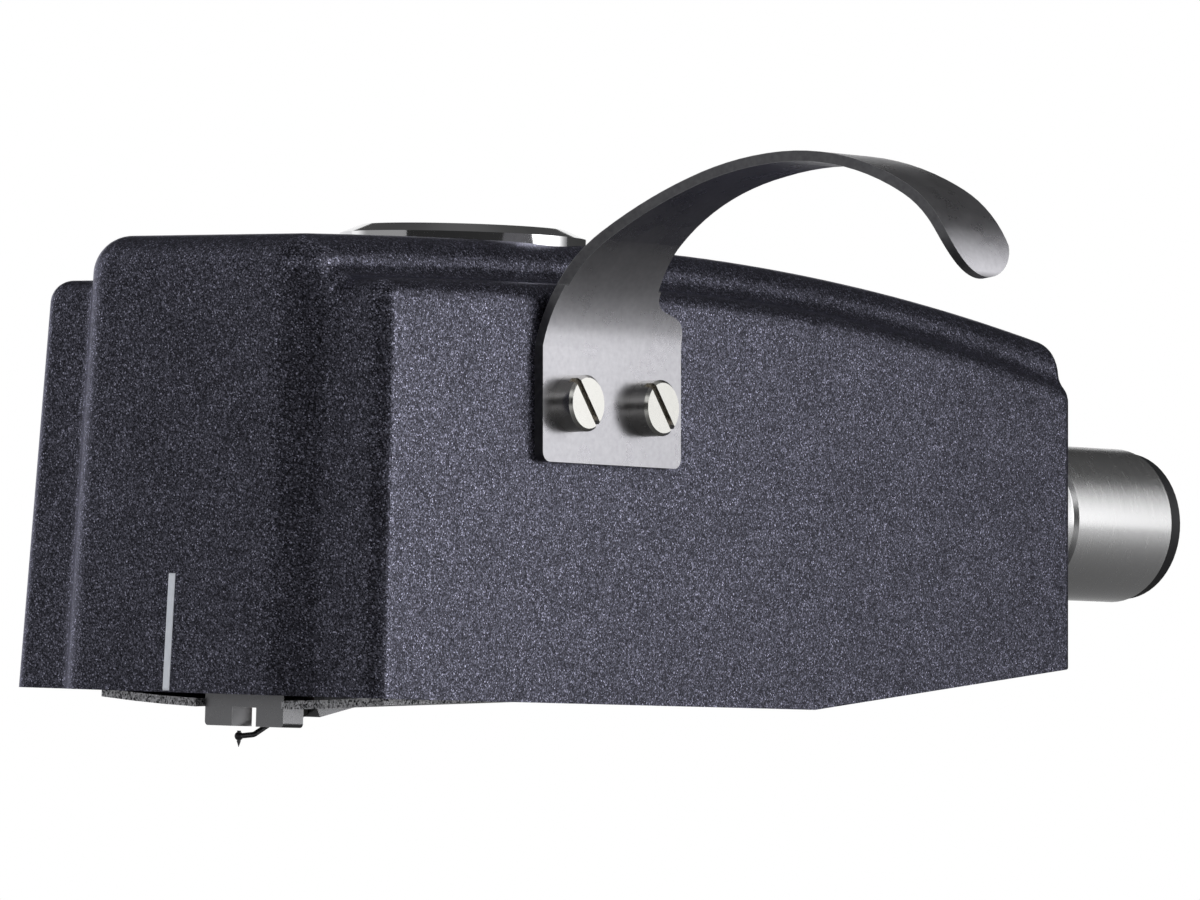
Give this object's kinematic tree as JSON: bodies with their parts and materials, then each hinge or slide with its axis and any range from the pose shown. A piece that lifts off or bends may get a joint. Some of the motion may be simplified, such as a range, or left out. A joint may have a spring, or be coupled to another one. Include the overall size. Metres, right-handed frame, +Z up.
{
  "type": "turntable stylus cartridge",
  "caption": "Turntable stylus cartridge: a long tapered shell with a sprung stylus below its nose, an arched finger lift at the side and a bayonet collar behind.",
  "frame": {"origin": "on the collar's axis, where the guide land that slides into the tonearm begins", "axes": "+X rearwards along the collar towards the tonearm, +Z up, -Y towards the finger lift"},
  "size_m": [0.0703, 0.0449, 0.0287],
  "materials": {
    "shell": "satin moulding with fine pale flakes",
    "chrome_disc": "polished",
    "lift_steel": "satin",
    "screw_nickel": "bright nickel",
    "collar_steel": "fine turned satin",
    "dark_moulding": "matte",
    "contact_metal": "bright",
    "cover_sheet": "fine grained",
    "pole_iron": "polished soft iron",
    "magnet": "ground",
    "copper": "enamelled wire",
    "damper_rubber": "matte",
    "cantilever_alloy": "drawn tube",
    "stylus_stone": "polished",
    "lead_insulation": "smooth"
  },
  "bodies": {
    "shell_body": {"shell": "shell", "top_disc": "chrome_disc", "finger_lift": "lift_steel", "finger_lift_screws": "screw_nickel", "connector_barrel": "collar_steel", "locating_pin": "collar_steel", "contact_carrier": "dark_moulding", "contact_pins": "contact_metal", "base_cover": "cover_sheet", "base_cover_screws": "screw_nickel", "front_pole_plate": "pole_iron", "magnet": "magnet", "rear_pole": "pole_iron", "generator_carrier": "dark_moulding", "carrier_screws": "screw_nickel", "terminal_strip": "dark_moulding", "terminal_pins": "contact_metal", "lead_wires": "lead_insulation"},
    "suspension": {"suspension_wire": "collar_steel", "damper": "damper_rubber"},
    "stylus_assembly": {"armature_core": "pole_iron", "coils": "copper", "cantilever": "cantilever_alloy", "stylus": "stylus_stone"}
  },
  "joints": [
    {"name": "stylus_lateral", "type": "hinge", "parent": "shell_body", "child": "suspension", "pos_m": [-0.05246, 0, -0.01057], "axis": [0, 0, 1], "range_deg": [-3, 3], "stiffness_Nm_per_rad": 0.001},
    {"name": "stylus_vertical", "type": "hinge", "parent": "suspension", "child": "stylus_assembly", "pos_m": [-0.05246, 0, -0.01057], "axis": [0, 1, 0], "range_deg": [-2, 6], "stiffness_Nm_per_rad": 0.001}
  ]
}
